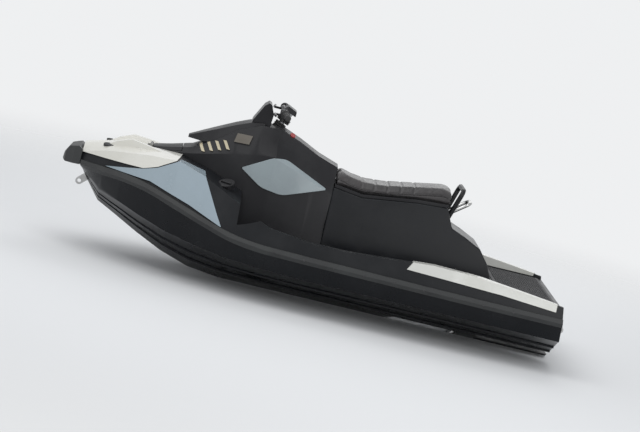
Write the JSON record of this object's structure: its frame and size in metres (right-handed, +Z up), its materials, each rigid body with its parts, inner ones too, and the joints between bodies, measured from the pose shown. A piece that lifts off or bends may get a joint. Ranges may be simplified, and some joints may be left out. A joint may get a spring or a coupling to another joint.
{
  "type": "personal watercraft",
  "caption": "Light two-up personal watercraft: V hull and decked body, raked handlebar coupled to a jet steering nozzle, impeller, reverse bucket, seat and front storage lid.",
  "frame": {"origin": "on the centreline at mid-length, at the waterline on which the empty craft floats", "axes": "+X to the bow, +Y to port, +Z up"},
  "size_m": [2.79, 1.1802, 0.9974],
  "materials": {
    "hull_black": "moulded composite, satin gloss black",
    "deck_black": "moulded composite, satin black",
    "rail_black": "soft black bumper extrusion",
    "hood_white": "glossy warm white",
    "fairing_grey": "glossy pale blue-grey",
    "panel_grey": "satin pale grey",
    "fender_white": "glossy warm white",
    "console_black": "grained black moulding",
    "louvre_beige": "pale beige-yellow",
    "seat_vinyl": "stitched black marine vinyl",
    "mat_black": "diamond-grooved foam mat",
    "grip_rubber": "ribbed black rubber",
    "bar_black": "black powder coat",
    "stainless": "brushed stainless steel",
    "pump_alloy": "bead-blasted anodised aluminium",
    "screen": "dark display glass",
    "red_plastic": "red moulding",
    "engine_grey": "cast alloy, painted grey"
  },
  "bodies": {
    "hull": {"hull": "hull_black", "foredeck": "deck_black", "bin_frame": "deck_black", "deck": "deck_black", "gunwale_left": "deck_black", "gunwale_right": "deck_black", "bumper_rail": "rail_black", "bow_bumper": "rail_black", "hood": "hood_white", "fairing_left": "fairing_grey", "fairing_right": "fairing_grey", "rear_fender_left": "fender_white", "rear_fender_right": "fender_white", "console": "console_black", "deflector": "console_black", "side_panel_left": "panel_grey", "side_panel_right": "panel_grey", "louvres_left": "louvre_beige", "louvres_right": "louvre_beige", "storage_bin": "console_black", "lid_hinge": "stainless", "instrument_cluster": "console_black", "display": "screen", "start_post": "red_plastic", "fuel_cap": "console_black", "seat_pedestal": "deck_black", "seat_base": "console_black", "seat_cushion": "seat_vinyl", "grab_handle": "console_black", "tow_loop": "stainless", "footwell_mat_left": "mat_black", "footwell_mat_right": "mat_black", "rear_deck_mat": "mat_black", "steering_head": "pump_alloy", "engine": "engine_grey", "ride_plate": "console_black", "intake_grate": "pump_alloy", "pump_housing": "pump_alloy", "venturi": "pump_alloy", "bow_eye": "stainless", "stern_eye_left": "stainless", "stern_eye_right": "stainless", "drain_plugs": "console_black"},
    "handlebar": {"steering_stem": "pump_alloy", "handlebar": "bar_black", "bar_pad": "console_black", "grip_left": "grip_rubber", "grip_right": "grip_rubber", "brake_lever": "console_black", "throttle_lever": "console_black"},
    "nozzle": {"steering_nozzle": "pump_alloy"},
    "bucket": {"reverse_bucket": "pump_alloy"},
    "impeller": {"impeller": "stainless", "drive_shaft": "stainless"},
    "lid": {"storage_lid": "console_black"}
  },
  "joints": [
    {"name": "handlebar_steer", "type": "hinge", "parent": "hull", "child": "handlebar", "pos_m": [0.28, 0, 0.76], "axis": [-0.4226, 0, 0.9063], "range_deg": [-22, 22]},
    {"name": "nozzle_steer", "type": "hinge", "parent": "hull", "child": "nozzle", "pos_m": [-1.193, 0, -0.07], "axis": [0, 0, 1], "range_deg": [-20, 20]},
    {"name": "bucket_swing", "type": "hinge", "parent": "hull", "child": "bucket", "pos_m": [-1.149, 0, -0.07], "axis": [0, -1, 0], "range_deg": [0, 62]},
    {"name": "impeller_spin", "type": "hinge", "parent": "hull", "child": "impeller", "pos_m": [-1.015, 0, -0.07], "axis": [1, 0, 0], "continuous": true},
    {"name": "lid_swing", "type": "hinge", "parent": "hull", "child": "lid", "pos_m": [0.949, 0, 0.437], "axis": [0, 1, 0], "range_deg": [0, 75]}
  ],
  "couplings": [
    {"joint": "nozzle_steer", "follows": "handlebar_steer", "ratio": -0.9}
  ]
}
